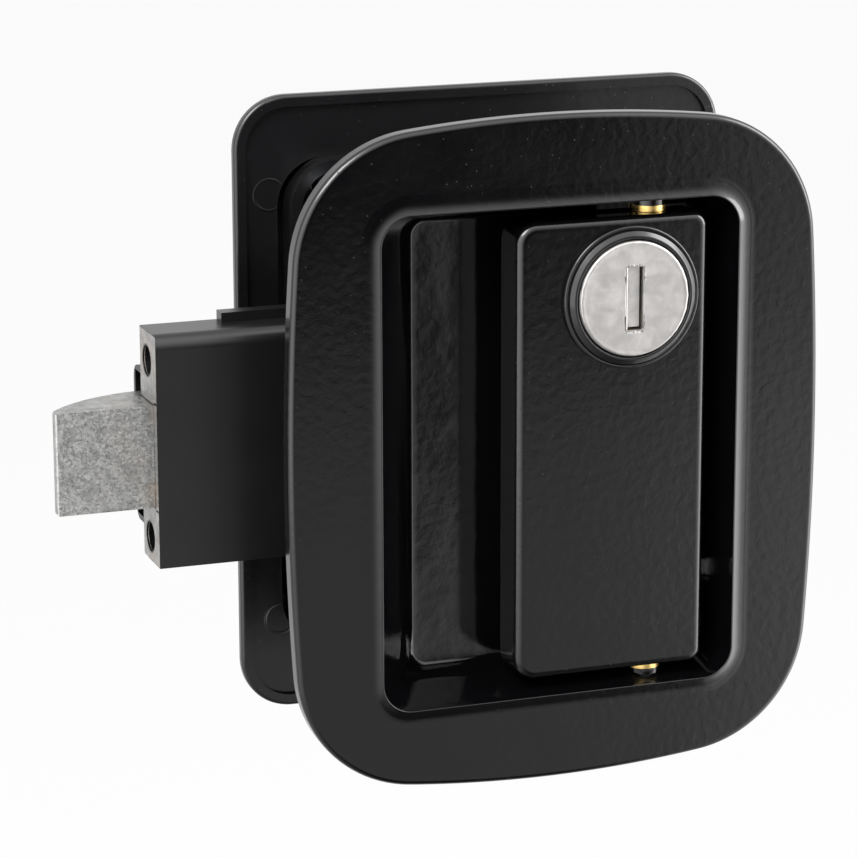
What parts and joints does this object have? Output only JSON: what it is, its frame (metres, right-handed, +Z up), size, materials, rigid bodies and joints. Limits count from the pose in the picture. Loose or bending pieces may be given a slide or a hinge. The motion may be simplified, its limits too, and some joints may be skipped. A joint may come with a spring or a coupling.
{
  "type": "flush paddle door lock",
  "caption": "Flush recessed paddle lock for a trailer door, with key cylinder, slam latch bolt, retractor train, inside pull handle and thumb-turn deadlock.",
  "frame": {"origin": "centre of the door cut-out in the plane of the outer door skin", "axes": "+X away from the door's free edge, +Y through the door from outside to inside, +Z up"},
  "size_m": [0.1379, 0.0757, 0.1206],
  "materials": {
    "black_coat": "glossy black powder coat with a light orange peel",
    "case_coat": "glossy black powder coat with a light orange peel",
    "black_trim": "satin black coat",
    "cast_zinc": "tumbled zinc die casting, mottled grey with a fine sparkle",
    "satin_nickel": "satin nickel plate",
    "steel": "clear zinc plated steel",
    "yellow_zinc": "yellow zinc plated steel",
    "spring_steel": "drawn spring wire",
    "wafer_brass": "stamped brass",
    "foam": "closed-cell foam"
  },
  "bodies": {
    "housing": {"exterior_housing": "black_coat", "exterior_gasket": "foam", "upper_hinge_pin": "yellow_zinc", "lower_hinge_pin": "yellow_zinc", "hinge_washers": "yellow_zinc", "paddle_spring": "yellow_zinc", "latch_case": "case_coat", "case_screws": "steel", "case_cover": "steel", "cover_screws": "steel", "bolt_spring": "spring_steel", "spring_guide": "steel", "retractor_pivot": "steel", "pivot_clip": "spring_steel", "deadlock_pivot": "steel", "deadlock_clip": "spring_steel", "interior_housing": "black_coat", "interior_handle_pin": "steel", "interior_handle_spring": "spring_steel", "mounting_screws": "steel"},
    "paddle": {"paddle": "black_coat", "paddle_arm": "steel", "arm_screws": "steel", "cylinder_shell": "black_trim", "cylinder_clip": "steel"},
    "plug": {"cylinder_plug": "satin_nickel", "wafer_tumblers": "wafer_brass", "locking_cam": "steel", "cam_screw": "steel"},
    "shutter": {"keyway_shutter": "satin_nickel"},
    "retractor": {"retractor_lever": "steel", "drive_pin": "steel"},
    "bolt": {"latch_bolt": "cast_zinc"},
    "deadlock": {"deadlock_lever": "steel"},
    "interior_handle": {"interior_handle": "black_coat", "interior_arm": "steel", "interior_arm_screws": "steel"},
    "thumb": {"thumb_turn": "black_coat", "thumb_spindle": "steel", "spindle_clip": "spring_steel", "deadlock_crank": "steel"}
  },
  "joints": [
    {"name": "paddle_hinge", "type": "hinge", "parent": "housing", "child": "paddle", "pos_m": [0.0187, 0.0022, 0], "axis": [0, 0, 1], "range_deg": [0, 35], "stiffness_Nm_per_rad": 0.4, "springref_deg": -20.05, "deforming": ["paddle_spring"]},
    {"name": "retractor_turn", "type": "hinge", "parent": "housing", "child": "retractor", "pos_m": [0.01315, 0.0175, -0.01879], "axis": [0, 1, 0], "range_deg": [0, 51.89]},
    {"name": "bolt_slide", "type": "slide", "parent": "housing", "child": "bolt", "axis": [1, 0, 0], "range_m": [0, 0.0175], "stiffness_N_per_m": 25, "springref_m": -0.03, "deforming": ["bolt_spring"]},
    {"name": "key_turn", "type": "hinge", "parent": "paddle", "child": "plug", "pos_m": [0.0131, 0, 0.0273], "axis": [0, 1, 0], "range_deg": [0, 90]},
    {"name": "shutter_swing", "type": "hinge", "parent": "plug", "child": "shutter", "pos_m": [0.01177, -0.00445, 0.0273], "axis": [0, 0, 1], "range_deg": [0, 80], "stiffness_Nm_per_rad": 0.0002, "springref_deg": -28.65},
    {"name": "interior_handle_hinge", "type": "hinge", "parent": "housing", "child": "interior_handle", "pos_m": [0.019, 0.0528, -0.0175], "axis": [0, 0, -1], "range_deg": [0, 21], "stiffness_Nm_per_rad": 0.4, "springref_deg": -20.05, "deforming": ["interior_handle_spring"]},
    {"name": "thumb_turn", "type": "hinge", "parent": "housing", "child": "thumb", "pos_m": [0.018, 0.058, 0.0145], "axis": [0, -1, 0], "range_deg": [0, 90]},
    {"name": "deadlock_swing", "type": "hinge", "parent": "housing", "child": "deadlock", "pos_m": [-0.001, 0.02305, 0.0145], "axis": [0, 1, 0], "range_deg": [0, 17.59]}
  ],
  "couplings": [
    {"joint": "retractor_turn", "follows": "paddle_hinge", "ratio": 1.4825},
    {"joint": "bolt_slide", "follows": "paddle_hinge", "m_per_rad": 0.028648},
    {"joint": "deadlock_swing", "follows": "thumb_turn", "ratio": 0.19543}
  ]
}
